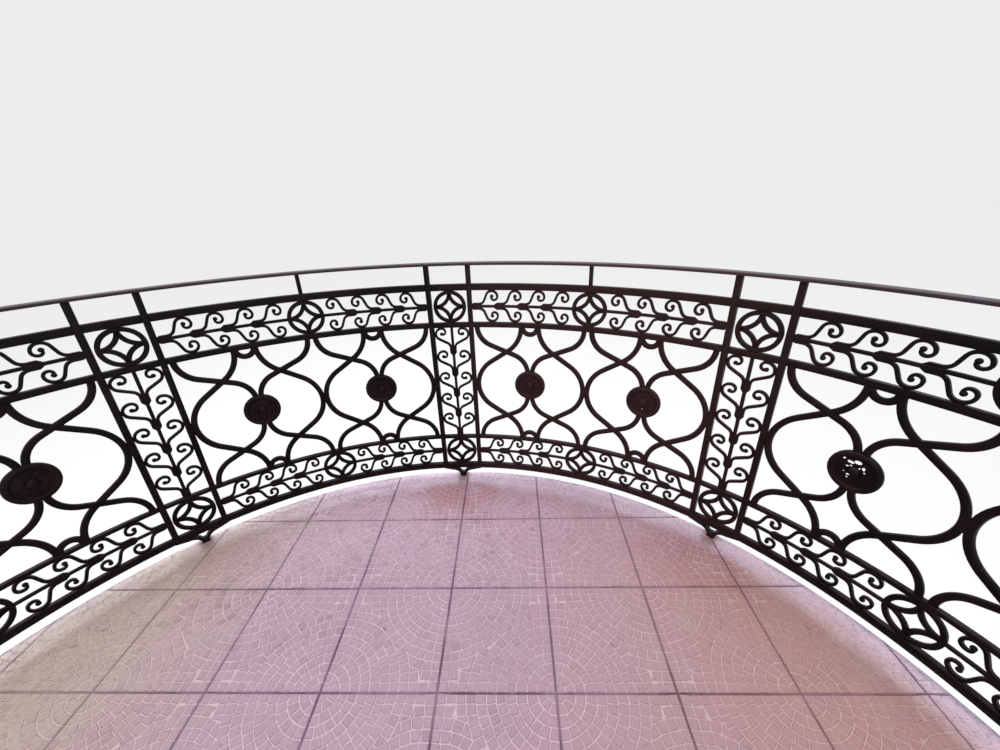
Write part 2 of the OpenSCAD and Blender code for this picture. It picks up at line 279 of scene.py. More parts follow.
def feed(tree, value, socket):
    """Links an input to another node's output, or gives it a plain number or colour."""
    if isinstance(value, bpy.types.NodeSocket):
        tree.links.new(value, socket)
    elif isinstance(value, tuple):
        socket.default_value = (*value, 1)
    elif value is not None:
        socket.default_value = value


def blend_colour(tree, mask, first, second, mode="MIX"):
    """Mixes two colours by a mask or a plain factor."""
    mix = tree.nodes.new("ShaderNodeMix")
    mix.data_type = "RGBA"
    mix.blend_type = mode
    for value, place in ((mask, 0), (first, 6), (second, 7)):
        feed(tree, value, mix.inputs[place])
    return mix.outputs[2]


def maths(tree, operation, first, second=None):
    """One Math node over one or two values."""
    node = tree.nodes.new("ShaderNodeMath")
    node.operation = operation
    feed(tree, first, node.inputs[0])
    feed(tree, second, node.inputs[1])
    return node.outputs[0]


def times(tree, first, second):
    """The product of two values."""
    return maths(tree, "MULTIPLY", first, second)


def wash(tree, colour, share, strength, other):
    """Lays another colour over a colour, by the mask of its share and a strength."""
    return blend_colour(tree, times(tree, share, strength), colour, other)


def principled(tree, colour, rough, height, strength, distance):
    """The shader at the end of a material, with a bump of a height, strength and distance."""
    shader = tree.nodes.new("ShaderNodeBsdfPrincipled")
    feed(tree, colour, shader.inputs["Base Color"])
    feed(tree, rough, shader.inputs["Roughness"])
    bump = tree.nodes.new("ShaderNodeBump")
    bump.inputs["Strength"].default_value = strength
    bump.inputs["Distance"].default_value = distance
    tree.links.new(height, bump.inputs["Height"])
    tree.links.new(bump.outputs["Normal"], shader.inputs["Normal"])
    tree.links.new(shader.outputs[0], tree.nodes["Material Output"].inputs["Surface"])
    return shader


def grain(tree, vector, scale, detail=6.0):
    """Fine noise, as a height or a speckle."""
    speckle = tree.nodes.new("ShaderNodeTexNoise")
    for socket, value in (("Scale", scale), ("Detail", detail), ("Roughness", 0.6)):
        speckle.inputs[socket].default_value = value
    tree.links.new(vector, speckle.inputs["Vector"])
    return speckle.outputs["Fac"]


def render_coat(name, sound, worn, dirt):
    """Lime render: trowelled grain, bleached and dirty patches, runs down from the lip."""
    material, tree = new_material(name)
    here = object_place(tree)
    fine = grain(tree, here, 260)
    colour = blend_colour(tree, patches(tree, here, 3.2, 0.42, 0.66), sound, worn)
    runs = patches(tree, object_place(tree, (9, 9, 0.7)), 2.2, 0.52, 0.74)
    colour = wash(tree, colour, runs, 0.75, dirt)
    colour = wash(tree, colour, fine, 0.5, dirt)
    height = maths(tree, "ADD", fine, grain(tree, here, 22, 3.0))
    principled(tree, colour, 0.92, height, 0.55, 0.002)
    return material


soffit = finished_copy("slab", "slab_soffit", 0.002)
soffit.data.materials.append(
    render_coat(
        "soffit_lime_render",
        sound=(0.70, 0.62, 0.45), worn=(0.60, 0.53, 0.40), dirt=(0.36, 0.31, 0.25),
    )
)
slab_edge = finished_copy("fascia", "slab_edge_render", 0.004, 3, 40)
slab_edge.data.materials.append(
    render_coat(
        "edge_painted_render",
        sound=(0.33, 0.39, 0.46), worn=(0.44, 0.48, 0.52), dirt=(0.17, 0.18, 0.20),
    )
)


# Floor. Square cement tiles with cobble fans pressed into them, bedded in dark mortar and
# cut to the slab's curve. Each fan has its centre on a corner where four tiles meet. Pale
# lines, which are the tiles' own tops, part the cobbles.
tile = 0.333
tile_gap = 0.0060
corner_x = -0.02115
corner_y = -0.02933 - 3.566 * tile
fan_rings = 12
ring_w = tile / fan_rings
line_w = 0.0034
floor_low, floor_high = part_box("floor_tiles")
tiles_edge = floor_high.x
facet_turn = 2
tiles_low = floor_low.z + 0.004
tiles_high = floor_high.z - 0.0018
mortar_high = floor_high.z - 0.0028
mortar_slope = 0.0004
tile_slope = 0.0010
tile_margin = 0.0006
cobble_low = mortar_high
cobble_slope = 0.0015
cobble_margin = 0.003
narrowest_cobble = 0.0024
sharpest_corner = 24


def bisect(point, normal):
    """Cuts the mesh in edit mode and drops what lies in front of the plane."""
    bpy.ops.mesh.select_all(action="SELECT")
    bpy.ops.mesh.bisect(plane_co=point, plane_no=normal, clear_outer=True)


def cut_to_slab(margin):
    """Trims flat faces to the tiles' round edge and to the wall, less a margin."""
    reach = tiles_edge * math.cos(math.radians(facet_turn / 2)) - margin
    for i in range(-1, 180 // facet_turn + 1):
        turn = math.radians(180 + (i + 0.5) * facet_turn)
        out = Vector((math.cos(turn), math.sin(turn), 0))
        bisect(centre + out * reach, out)
    bisect((0, -margin, 0), (0, 1, 0))


def raise_faces(low, high, slope):
    """Stands every selected flat face up as a block with sloped top edges."""
    bpy.ops.mesh.select_all(action="SELECT")
    bpy.ops.mesh.extrude_region_move(TRANSFORM_OT_translate={"value": (0, 0, high - low - slope)})
    bpy.ops.mesh.inset(thickness=slope, depth=slope, use_individual=True)


def select_faces(chosen):
    """Selects the faces of the mesh in edit mode for which chosen(face) is true."""
    bpy.ops.mesh.select_all(action="DESELECT")
    mesh = bmesh.from_edit_mesh(bpy.context.object.data)
    for face in mesh.faces:
        if chosen(face):
            face.select_set(True)
    bmesh.update_edit_mesh(bpy.context.object.data)


def keep_insets(margin):
    """Shrinks each face by a margin on all sides and drops what lay round it."""
    bpy.ops.mesh.select_mode(type="FACE")
    bpy.ops.mesh.select_all(action="SELECT")
    bpy.ops.mesh.inset(thickness=margin, use_individual=True)
    bpy.ops.mesh.select_all(action="INVERT")
    bpy.ops.mesh.delete(type="FACE")
    bpy.ops.mesh.select_mode(type="VERT")


# How far a cobble's corners stray from the drawn rings
uneven = 0.0014


def fan_of_cobbles(leads, seed):
    """Rings of flat cobbles about the origin. Two fans meet in a stair: where their rings
    of one size cross, the cobble there belongs to the fan that leads."""
    bpy.ops.object.select_all(action="DESELECT")
    bpy.ops.mesh.primitive_circle_add(vertices=12, radius=ring_w, fill_type="NGON")
    fan = bpy.context.object
    bpy.ops.object.mode_set(mode="EDIT")
    for k in range(1, fan_rings):
        bpy.ops.mesh.select_all(action="DESELECT")
        cobbles = 4 * round(math.pi / 2 * (k + 0.75))
        bpy.ops.mesh.primitive_circle_add(vertices=cobbles, radius=k * ring_w)
        bpy.ops.mesh.extrude_region_move()
        grow = (k + 1) / k
        bpy.ops.transform.resize(value=(grow, grow, 1), center_override=(0, 0, 0))
    apart = tile * math.sqrt(2)
    for k in range(1, fan_rings):
        near, far = k * ring_w, (k + 1) * ring_w
        stop = near if leads else far
        if near + stop < apart:
            continue
        ends = []
        for radius in (near, far):
            along = (apart**2 + radius**2 - stop**2) / (2 * apart)
            ends.append(Vector((along, math.sqrt(radius**2 - along**2), 0)))
        across = Vector((ends[1].y - ends[0].y, ends[0].x - ends[1].x, 0))
        for quarter in range(4):
            for side in (1, -1):
                place = Matrix.Rotation(math.radians(45 + 90 * quarter), 3, "Z")
                place = place @ Matrix.Diagonal((1, side, 1))

                def on_this_side(face):
                    spot = place.transposed() @ face.calc_center_median()
                    return near < spot.length < far and 0 <= spot.y < spot.x

                select_faces(on_this_side)
                bpy.ops.mesh.bisect(
                    plane_co=place @ ends[0], plane_no=place @ across, clear_outer=True
                )
    bpy.ops.mesh.select_all(action="SELECT")
    bpy.ops.transform.vertex_random(offset=uneven, seed=seed)
    gap = (tile_gap - line_w) / 2 + 0.0005

    def in_a_joint(face):
        spot = face.calc_center_median()
        return min(abs(spot.x), abs(spot.y)) < gap

    for side in (-1, 1):
        for axis in ((1, 0, 0), (0, 1, 0)):
            bpy.ops.mesh.select_all(action="SELECT")
            bpy.ops.mesh.bisect(plane_co=Vector(axis) * side * gap, plane_no=axis)
    select_faces(in_a_joint)
    bpy.ops.mesh.delete(type="FACE")
    keep_insets(line_w / 2)
    bpy.ops.mesh.select_all(action="SELECT")
    bpy.ops.transform.vertex_random(offset=uneven / 2, seed=seed + 1)
    bpy.ops.transform.resize(value=(1, 1, 0), center_override=(0, 0, 0))
    bpy.ops.object.mode_set(mode="OBJECT")
    return fan


def join(pieces, name):
    """Joins objects into one, with a plain name."""
    bpy.ops.object.select_all(action="DESELECT")
    for piece in pieces:
        piece.select_set(True)
    bpy.context.view_layer.objects.active = pieces[0]
    if len(pieces) > 1:
        bpy.ops.object.join()
    pieces[0].name = name
    return pieces[0]


def copy_at(source, place, flip=False):
    """A copy of a piece with its own mesh, put in its place in the mesh itself."""
    copy = bpy.data.objects.new(source.name, source.data.copy())
    bpy.context.scene.collection.objects.link(copy)
    copy.data.transform(place)
    if flip:
        copy.data.flip_normals()
    return copy


def delete(piece):
    """Removes an object that has served as a pattern or a tool."""
    bpy.data.objects.remove(piece, do_unlink=True)


# A fan on every second corner, as on a chessboard, each given a random quarter turn
two_fans = (fan_of_cobbles(True, 4), fan_of_cobbles(False, 9))
turns = random.Random(5)
fans = []
for i in range(-6, 7):
    for j in range(-2, 6):
        spot = Vector((corner_x - i * tile, corner_y + j * tile, cobble_low))
        if (i + j) % 2 and (spot - centre).xy.length < tiles_edge + tile and spot.y < tile:
            turned = Matrix.Rotation(math.radians(90 * turns.randrange(4)), 4, "Z")
            fans.append(copy_at(two_fans[i % 2], Matrix.Translation(spot) @ turned))
for fan in two_fans:
    delete(fan)
cobbles = join(fans, "cobbles")
# Laid by hand: the rings sway a little, but not across the joints
sway = 0.0045
sways_per_metre = 16
steady_by_joint = 0.014
for vertex in cobbles.data.vertices:
    here = vertex.co.copy()
    for axis, first in ((0, corner_x), (1, corner_y)):
        joint = abs((here[axis] - first + tile / 2) % tile - tile / 2)
        push = noise.noise(here * sways_per_metre + Vector((0, 0, 5 * axis)))
        vertex.co[axis] += sway * push * min(1, joint / steady_by_joint)
bpy.ops.object.mode_set(mode="EDIT")
cut_to_slab(cobble_margin)


# Cobbles that the cuts have left too narrow or too sharp are filled over with cement
def too_narrow(face):
    return 2 * face.calc_area() < narrowest_cobble * face.calc_perimeter()


def too_sharp(face):
    sharpest = min(loop.calc_angle() for loop in face.loops)
    return sharpest < math.radians(sharpest_corner)


for fault in (too_narrow, too_sharp):
    select_faces(fault)
    bpy.ops.mesh.delete(type="FACE")
raise_faces(cobble_low, floor_high.z, cobble_slope)
bpy.ops.object.mode_set(mode="OBJECT")

# The tiles themselves, and the mortar between and under them
bpy.ops.object.select_all(action="DESELECT")
across, along = 12, 8
bpy.ops.mesh.primitive_grid_add(x_subdivisions=across, y_subdivisions=along, size=1)
tiles = bpy.context.object
tiles.data.transform(
    Matrix.Translation((corner_x, corner_y + 2 * tile, tiles_low))
    @ Matrix.Diagonal((across * tile, along * tile, 1, 1))
)
bpy.ops.object.mode_set(mode="EDIT")
keep_insets(tile_gap / 2)
cut_to_slab(tile_margin)
raise_faces(tiles_low, tiles_high, tile_slope)
bpy.ops.object.mode_set(mode="OBJECT")

bpy.ops.object.select_all(action="DESELECT")
bpy.ops.mesh.primitive_circle_add(
    vertices=360 // facet_turn, radius=tiles_edge, fill_type="NGON", location=(0, 0, 0)
)
mortar = bpy.context.object
mortar.data.transform(Matrix.Translation((0, centre.y, floor_low.z)))
bpy.ops.object.mode_set(mode="EDIT")
cut_to_slab(0)
raise_faces(floor_low.z, mortar_high, mortar_slope)
bpy.ops.object.mode_set(mode="OBJECT")


def each_its_shade(piece, seed):
    """Gives every separate block of a piece a random shade between 0 and 1."""
    mesh = bmesh.new()
    mesh.from_mesh(piece.data)
    shade = mesh.verts.layers.float.new("shade")
    draw = random.Random(seed)
    done = set()
    for vertex in mesh.verts:
        if vertex.index in done:
            continue
        value = draw.random()
        ahead = [vertex]
        done.add(vertex.index)
        while ahead:
            here = ahead.pop()
            here[shade] = value
            for edge in here.link_edges:
                beyond = edge.other_vert(here)
                if beyond.index not in done:
                    done.add(beyond.index)
                    ahead.append(beyond)
    mesh.to_mesh(piece.data)
    mesh.free()


for seed, piece in enumerate((cobbles, tiles, mortar), 11):
    each_its_shade(piece, seed)


def round_the_curve(tree):
    """Distance from the curve's centre, and turn from the nearest pilaster in radians."""
    x, y, _ = split(tree, object_place(tree))
    out = maths(tree, "SUBTRACT", centre.y, y)
    squares = maths(tree, "ADD", maths(tree, "POWER", x, 2), maths(tree, "POWER", out, 2))
    turn = maths(tree, "ARCTAN2", x, out)
    return maths(tree, "SQRT", squares), maths(tree, "PINGPONG", turn, math.radians(pitch_turn / 2))


def stepped(tree, value, low, high):
    """A smooth step of a value from low to high."""
    node = tree.nodes.new("ShaderNodeMapRange")
    node.interpolation_type = "SMOOTHSTEP"
    tree.links.new(value, node.inputs["Value"])
    node.inputs["From Min"].default_value = low
    node.inputs["From Max"].default_value = high
    return node.outputs["Result"]


# Dark grey-purple, for the darkest blocks and for the painted shade in the cobbles' crevices
grime_and_shade = (0.22, 0.13, 0.18)


def tile_cement(name, plain, pale, strong, rusty, bleached, filler=None, shaded_flanks=0.0):
    """Pigmented cement, a shade of its own in every block. Rust runs in from the feet of
    the pilasters and rain has bleached the rim, which is made paler still as painted light
    where the railing shades it, and the floor is darker towards the door as painted shade.
    Seen from the door, the floor is salmon to the right and tan to the left."""
    material, tree = new_material(name)
    here = object_place(tree)
    far, turn = round_the_curve(tree)
    x, y, z = split(tree, here)

    def step(value, low, high):
        return stepped(tree, value, low, high)

    def spots(scale, low, high):
        return patches(tree, here, scale, low, high)

    def darker(share):
        return tuple(share * part for part in plain)

    def glaze(colour, share, other):
        return blend_colour(tree, share, colour, other, "MULTIPLY")

    # The cement's own shades, block by block and in clouds
    shade = tree.nodes.new("ShaderNodeAttribute")
    shade.attribute_name = "shade"
    own = shade.outputs["Fac"]
    colour = wash(tree, plain, maths(tree, "POWER", own, 1.5), 0.55, strong)
    colour = wash(tree, colour, step(own, 0.86, 0.93), 0.35, grime_and_shade)
    colour = wash(tree, colour, spots(2.3, 0.40, 0.62), 0.5, pale)
    colour = wash(tree, colour, spots(10.0, 0.50, 0.68), 0.4, darker(0.82))
    # Salmon to the right, tan to the left, grey stains, and darker towards the door, which is
    # painted shade that evens out the light from near to far
    colour = wash(tree, colour, step(x, 0.1, -0.9), 0.62, (0.48, 0.265, 0.30))
    colour = wash(tree, colour, step(x, -0.1, -0.85), 0.36, (0.40, 0.19, 0.175))
    colour = wash(tree, colour, step(x, 0.5, 1.2), 0.45, (0.48, 0.38, 0.36))
    stains = patches(tree, object_place(tree, (1, 1.3, 1)), 7.0, 0.52, 0.66)
    colour = wash(tree, colour, stains, 0.4, (0.47, 0.38, 0.42))
    # Painted shade: the floor darker towards the door
    colour = wash(tree, colour, step(far, 1.30, 0.80), 0.60, darker(0.60))
    # Rust from the feet, in a band inside the rim, less of it to the left
    band = times(tree, step(far, 1.10, 1.34), step(far, 1.47, 1.42))
    near_foot = times(tree, step(turn, 0.22, 0.05), spots(8.0, 0.24, 0.54))
    spread = times(tree, spots(4.5, 0.45, 0.68), 0.28)
    rust = times(tree, band, maths(tree, "MAXIMUM", near_foot, spread))
    rust = times(tree, rust, step(x, 1.6, -0.7))
    colour = wash(tree, colour, rust, 0.8, rusty)
    # The bleached rim, which has a ragged inner edge and steps back from each foot. It is paler
    # than the bleaching alone, as painted light where the railing shades the floor
    ragged = maths(tree, "ADD", far, times(tree, grain(tree, here, 8.0), 0.06))
    ragged = maths(tree, "SUBTRACT", ragged, times(tree, step(turn, 0.17, 0.04), 0.022))
    colour = wash(tree, colour, step(ragged, 1.400, 1.465), 0.90, bleached)
    colour = wash(tree, colour, step(x, 0.1, -0.6), 0.42, darker(0.80))
    if filler:
        colour = wash(tree, colour, spots(6.5, 0.44, 0.60), 0.7, filler)
    # Thin glazes of dirt: brown to the right, yellow to the left, grey by the door
    warm = times(tree, step(x, -0.05, -1.15), step(y, -1.25, -0.8))
    warm = times(tree, warm, step(far, 1.49, 1.38))
    colour = glaze(colour, warm, (0.88, 0.81, 0.65))
    colour = glaze(colour, step(x, 0.35, 1.15), (0.95, 1.0, 0.79))
    colour = glaze(colour, step(far, 1.0, 0.40), (0.91, 0.90, 0.89))
    # Painted shade on the outermost edge, rusty drips under the feet, and specks all over
    colour = wash(tree, colour, step(ragged, 1.512, 1.540), 0.7, (0.34, 0.31, 0.42))
    seep = times(tree, step(turn, 0.026, 0.006), step(far, 1.40, 1.455))
    colour = wash(tree, colour, seep, 0.7, (0.20, 0.09, 0.07))
    fine = grain(tree, here, 420, 4.0)
    coarse = grain(tree, here, 95, 5.0)
    colour = wash(tree, colour, step(coarse, 0.50, 0.70), 0.55, (0.26, 0.17, 0.22))
    colour = wash(tree, colour, step(fine, 0.55, 0.75), 0.25, (0.30, 0.20, 0.24))
    # Painted shade in patches on the cobbles' sloped flanks, where the crevices between them lie
    if shaded_flanks:
        low = step(z, floor_high.z - 0.0001, floor_high.z - 0.0010)
        colour = wash(tree, colour, times(tree, low, spots(19.0, 0.46, 0.60)), shaded_flanks, grime_and_shade)
    rough = maths(tree, "ADD", times(tree, fine, 0.25), 0.55)
    principled(tree, colour, rough, maths(tree, "ADD", fine, coarse), 0.35, 0.0008)
    return material


cobbles.data.materials.append(
    tile_cement(
        "tile_cobbles_mauve",
        plain=(0.555, 0.37, 0.48), pale=(0.58, 0.42, 0.53), strong=(0.36, 0.21, 0.285),
        rusty=(0.35, 0.12, 0.11), bleached=(0.87, 0.68, 0.84), shaded_flanks=0.6,
    )
)
tiles.data.materials.append(
    tile_cement(
        "tile_lines_pale_pink",
        plain=(0.77, 0.575, 0.68), pale=(0.73, 0.54, 0.65), strong=(0.60, 0.42, 0.52),
        rusty=(0.60, 0.33, 0.28), bleached=(0.95, 0.80, 0.93), filler=(0.57, 0.425, 0.505),
    )
)
mortar.data.materials.append(
    tile_cement(
        "tile_mortar_dark",
        plain=(0.10, 0.035, 0.095), pale=(0.32, 0.19, 0.30), strong=(0.06, 0.02, 0.055),
        rusty=(0.12, 0.04, 0.045), bleached=(0.34, 0.24, 0.33), filler=(0.26, 0.15, 0.24),
    )
)
floor = join([mortar, tiles, cobbles], "floor_tiling")
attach(floor, "root")
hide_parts("floor_tiles")


# Iron. Every bar has many coats of near-black oil paint with a brown and purple cast, dull
# on the flats, with patches of rust. The edges are lighter, from wear and a painted highlight,
# what faces up is lighter, from dust and a painted sheen, and one bay is painted lighter as if lit.
# A mask of the edges, for their wear and their painted highlight
wear_and_sheen_group, wear_in, wear_out = group(
    "edge_wear_and_sheen",
    [
        ("Radius", "NodeSocketFloat", 0.002),
        ("From", "NodeSocketFloat", 0.02),
        ("To", "NodeSocketFloat", 0.2),
    ],
    [("Mask", "NodeSocketFloat")],
)
wear_bevel = wear_and_sheen_group.nodes.new("ShaderNodeBevel")
wear_bevel.samples = 4
wear_face = wear_and_sheen_group.nodes.new("ShaderNodeNewGeometry")
wear_dot = wear_and_sheen_group.nodes.new("ShaderNodeVectorMath")
wear_dot.operation = "DOT_PRODUCT"
wear_turn = wear_and_sheen_group.nodes.new("ShaderNodeMath")
wear_turn.operation = "SUBTRACT"
wear_turn.inputs[0].default_value = 1.0
wear_range = wear_and_sheen_group.nodes.new("ShaderNodeMapRange")
wear_range.interpolation_type = "SMOOTHSTEP"
wire(
    wear_and_sheen_group,
    (wear_in, "Radius", wear_bevel, "Radius"),
    (wear_bevel, "Normal", wear_dot, 0),
    (wear_face, "Normal", wear_dot, 1),
    (wear_dot, "Value", wear_turn, 1),
    (wear_turn, 0, wear_range, "Value"),
    (wear_in, "From", wear_range, "From Min"),
    (wear_in, "To", wear_range, "From Max"),
    (wear_range, "Result", wear_out, "Mask"),
)


def facing_up(tree, low, high):
    """A mask of what faces the sky."""
    face = tree.nodes.new("ShaderNodeNewGeometry")
    return stepped(tree, split(tree, face.outputs["Normal"])["Z"], low, high)


def iron_paint(name, paint, tint, lit_bay_tone, polish_and_sheen, dull, rust_share):
    """Oil paint on iron: thick and thin patches, one bay painted lighter and more maroon as if
    lit, edges lighter from wear and a painted highlight, rust, and dust with a painted sheen."""
    material, tree = new_material(name)
    here = object_place(tree)
    colour = blend_colour(tree, patches(tree, here, 9.0, 0.40, 0.62), paint, tint)
    x = split(tree, here)["X"]
    # Painted light: one bay lighter and more maroon than the others, on the same paint
    lit_bay = times(tree, stepped(tree, x, 0.06, -0.16), stepped(tree, x, -1.30, -0.85))
    colour = wash(tree, colour, lit_bay, 0.6, lit_bay_tone)
    # Edges lighter, from rubbing and a painted highlight along them
    wear_and_sheen = tree.nodes.new("ShaderNodeGroup")
    wear_and_sheen.node_tree = wear_and_sheen_group
    wear_and_sheen.inputs["Radius"].default_value = 0.0018
    worn = times(tree, wear_and_sheen.outputs["Mask"], patches(tree, here, 30.0, 0.35, 0.60))
    colour = wash(tree, colour, worn, 0.6, polish_and_sheen)
    rust = patches(tree, here, 16.0, 0.66 - rust_share, 0.74 - rust_share, 8.0)
    colour = wash(tree, colour, rust, 0.6, (0.050, 0.018, 0.010))
    # What faces up is lighter, from dust and a painted sheen
    dust_and_sheen = times(tree, facing_up(tree, 0.5, 0.95), patches(tree, here, 24.0, 0.35, 0.65))
    colour = wash(tree, colour, dust_and_sheen, 0.35, (0.075, 0.045, 0.055))
    specks = times(tree, grain(tree, here, 600, 2.0), 0.35)
    lumps = maths(tree, "ADD", grain(tree, here, 130, 3.0), specks)
    rough = maths(tree, "ADD", times(tree, rust, 0.3), dull)
    shader = principled(tree, colour, rough, lumps, 0.35, 0.0007)
    shader.inputs["Specular IOR Level"].default_value = 0.10
    return material


iron = iron_paint(
    "iron_paint", paint=(0.0038, 0.0024, 0.0026), tint=(0.0095, 0.0048, 0.0052),
    lit_bay_tone=(0.042, 0.018, 0.019), polish_and_sheen=(0.036, 0.022, 0.024), dull=0.38, rust_share=-0.04,
)


def dress(piece, material):
    """Gives a finished piece of ironwork its material and slot."""
    piece.data.materials.clear()
    piece.data.materials.append(material)


# Feet and straps. Under each pilaster two flat arms swing down to a narrow foot on the
# tiles. A strap from each foot goes over the tiles' edge and is let into the slab's face.
foot_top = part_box("foot_3")[1].z
arm_end_x = 0.088
arm_end_share = 0.2
for i, turn in enumerate(pilaster_turns, 1):
    foot = finished_copy(f"foot_{i}", f"pilaster_foot_{i}", 0.0022, 3)
    for vertex in foot.data.vertices:
        # The arms are drawn out thin at their ends
        if abs((upright(turn).inverted() @ vertex.co).x) > arm_end_x:
            vertex.co.z = foot_top - arm_end_share * (foot_top - vertex.co.z)
    dress(foot, iron)
dress(finished_copy("edge_straps", "slab_straps", 0.0014), iron)


# Rails and posts. Flat and square bar, bent to the curve and scarfed round the posts.
for node in ("bottom_rail", "sill_rail", "head_rail", "top_rail"):
    dress(finished_copy(node, f"{node}_bar", 0.0014), iron)
for i in range(1, 6):
    dress(finished_copy(f"post_pair_{i}", f"pilaster_posts_{i}", 0.0016), iron)
dress(finished_copy("bay_studs", "handrail_studs", 0.0012), iron)


# Scrolls. Flat bar drawn to a point, bent to an S on the anvil and rolled up to a small
# ball. Two lie back to back on a stem, and one drawing serves every place of its height.
class Bar:
    """A bar worked from its start. Its end face stays selected, in the mesh in edit mode."""

    def __init__(self, width, depth, x, z, heading, soft, corner=1):
        self.tip = Vector((x, 0, z))
        self.heading = heading
        bpy.ops.mesh.select_all(action="DESELECT")
        bpy.ops.mesh.primitive_plane_add(size=1, location=self.tip)
        bpy.ops.transform.resize(value=(width, depth, 1), center_override=self.tip)
        bpy.ops.transform.rotate(
            value=math.radians(heading - 90), orient_axis="Y", center_override=self.tip
        )
        bpy.ops.mesh.bevel(offset=soft, affect="VERTICES", segments=corner)

    def towards(self, turn=0):
        """A step of length one along the bar, or turned from it."""
        angle = math.radians(self.heading + turn)
        return Vector((math.cos(angle), 0, math.sin(angle)))

    def straight(self, length):
        self.tip = self.tip + self.towards() * length
        bpy.ops.mesh.extrude_region_move(
            TRANSFORM_OT_translate={"value": self.towards() * length}
        )

    def swell(self, length, aside, factor):
        """A straight that also grows or shrinks, and moves aside to keep one face flush."""
        step = self.towards() * length + self.towards(90) * aside
        self.tip = self.tip + step
        bpy.ops.mesh.extrude_region_move(TRANSFORM_OT_translate={"value": step})
        self.thin(factor)

    def thin(self, factor):
        """Scales the end face in the drawing's plane."""
        bpy.ops.transform.resize(value=(factor, 1, factor), center_override=self.tip)

    def bend(self, radius, turn, step=15, factor=1.0):
        """An arc, to the left if turn is above 0, that thins by factor from end to end."""
        side = 90 if turn > 0 else -90
        eye = self.tip + self.towards(side) * radius
        count = max(1, math.ceil(abs(turn) / step))
        for _ in range(count):
            bpy.ops.mesh.spin(
                steps=1, angle=math.radians(turn / count), center=eye, axis=(0, 1, 0)
            )
            self.heading += turn / count
            self.tip = eye - self.towards(side) * radius
            if factor != 1.0:
                self.thin(factor ** (1 / count))


def start_drawing():
    """An empty mesh in edit mode, to draw bars in."""
    bpy.ops.object.select_all(action="DESELECT")
    bpy.ops.mesh.primitive_plane_add(size=1)
    bpy.ops.object.mode_set(mode="EDIT")
    bpy.ops.mesh.select_all(action="SELECT")
    bpy.ops.mesh.delete(type="VERT")
    return bpy.context.object


def mirrored(axis):
    """Adds the mirror image of all that is drawn, across x or z."""
    bpy.ops.mesh.select_all(action="SELECT")
    bpy.ops.mesh.duplicate()
    flip = (-1, 1, 1) if axis == "x" else (1, 1, -1)
    bpy.ops.transform.resize(value=flip, center_override=(0, 0, 0))
    bpy.ops.mesh.flip_normals()


def end_drawing(name, angle=40):
    """Merges and closes the drawing, turns its faces outwards and leaves edit mode."""
    bpy.ops.mesh.select_all(action="SELECT")
    bpy.ops.mesh.remove_doubles(threshold=1e-7)
    bpy.ops.mesh.normals_make_consistent(inside=False)
    bpy.ops.object.mode_set(mode="OBJECT")
    bpy.ops.object.shade_smooth_by_angle(angle=math.radians(angle))
    bpy.context.object.name = name
    return bpy.context.object


scroll_t = 0.0095
scroll_d = 0.012
stem_t = 0.011
collar_l = 0.033
collar_sink = 0.005
point_l = 0.011
eye_r = 0.0075
root_r = 0.024
volute_share = 0.345
# Bars run a little way into what they touch: seat into a rail or a post, weld into a bar
seat = 0.0005
weld = 0.0008
lead = (stem_t + scroll_t) / 2 - weld


def scroll_straight(reach, rise):
    """The straight in the middle of a scroll's S that brings it out to its reach."""
    climb = reach + seat - scroll_t / 2 - lead
    rise = math.radians(rise)
    return (climb - (root_r + reach * volute_share) * (1 - math.cos(rise))) / math.sin(rise)


def scroll_reach(reach, rise):
    """How far a scroll runs on past its collar."""
    volute_r = reach * volute_share
    level = scroll_straight(reach, rise) * math.cos(math.radians(rise))
    return (root_r + volute_r) * math.sin(math.radians(rise)) + level + volute_r + scroll_t / 2


def scroll_pair(name, reach, rise):
    """Two like scrolls back to back, each worked from its thin tip behind the collar."""
    start_drawing()
    volute_r = reach * volute_share
    tip_t = 0.0016
    depth = scroll_d * 0.8
    scroll = Bar(tip_t, depth, -collar_l, lead - scroll_t / 2 + tip_t / 2, 0, tip_t / 4)
    scroll.swell(point_l, (scroll_t - tip_t) / 2, scroll_t / tip_t)
    scroll.straight(collar_l - point_l)
    scroll.bend(root_r, rise)
    scroll.straight(scroll_straight(reach, rise))
    scroll.bend(volute_r, -rise)
    for tighter, turn, step, thinner in (
        (1.00, -90, 15, 0.95),
        (0.62, -90, 18, 0.94),
        (0.46, -90, 18, 0.94),
        (0.28, -50, 25, 0.94),
    ):
        scroll.bend(volute_r * tighter, turn, step, thinner)
    bpy.ops.mesh.select_all(action="DESELECT")
    bpy.ops.mesh.primitive_uv_sphere_add(
        segments=12, ring_count=8, radius=eye_r, location=scroll.tip
    )
    mirrored("z")
    return end_drawing(name)


# Rosettes. A ring of flat bar with four arcs in it, bowed inwards from one quarter of the
# ring to the next and forged to it. Each frieze has one, and each pilaster two.
ring_t = 0.015
ring_soft = 0.002
arc_d = scroll_d - 0.001


def rosette(name, radius):
    """A ring of an outer radius, with its four arcs."""
    start_drawing()
    middle = radius - ring_t / 2
    ring = Bar(ring_t, scroll_d, middle, 0, 90, ring_soft)
    ring.bend(middle, 360, 10)
    for quarter in range(4):
        turn = 90 * quarter
        x, z = math.cos(math.radians(turn)) * middle, math.sin(math.radians(turn)) * middle
        arc = Bar(ring_t, arc_d, x, z, 180 + turn, ring_soft)
        arc.bend(middle, -90, 10)
    return end_drawing(name)


# Friezes. Two bands in each bay, one between the lower rails and one between the upper ones.
# From the post on each side a thin stem with four scroll pairs on it runs to a rosette.
post_x = 0.083
post_w = 0.020
half_bay = rail_r * math.radians(pitch_turn / 2)
frieze_rise = 68
pairs_in_half_bay = 4
stem_d = scroll_d - 0.002
stem_soft = 0.0015
stem_in_post = 0.003
stem_step = 2.0
drawings = {}


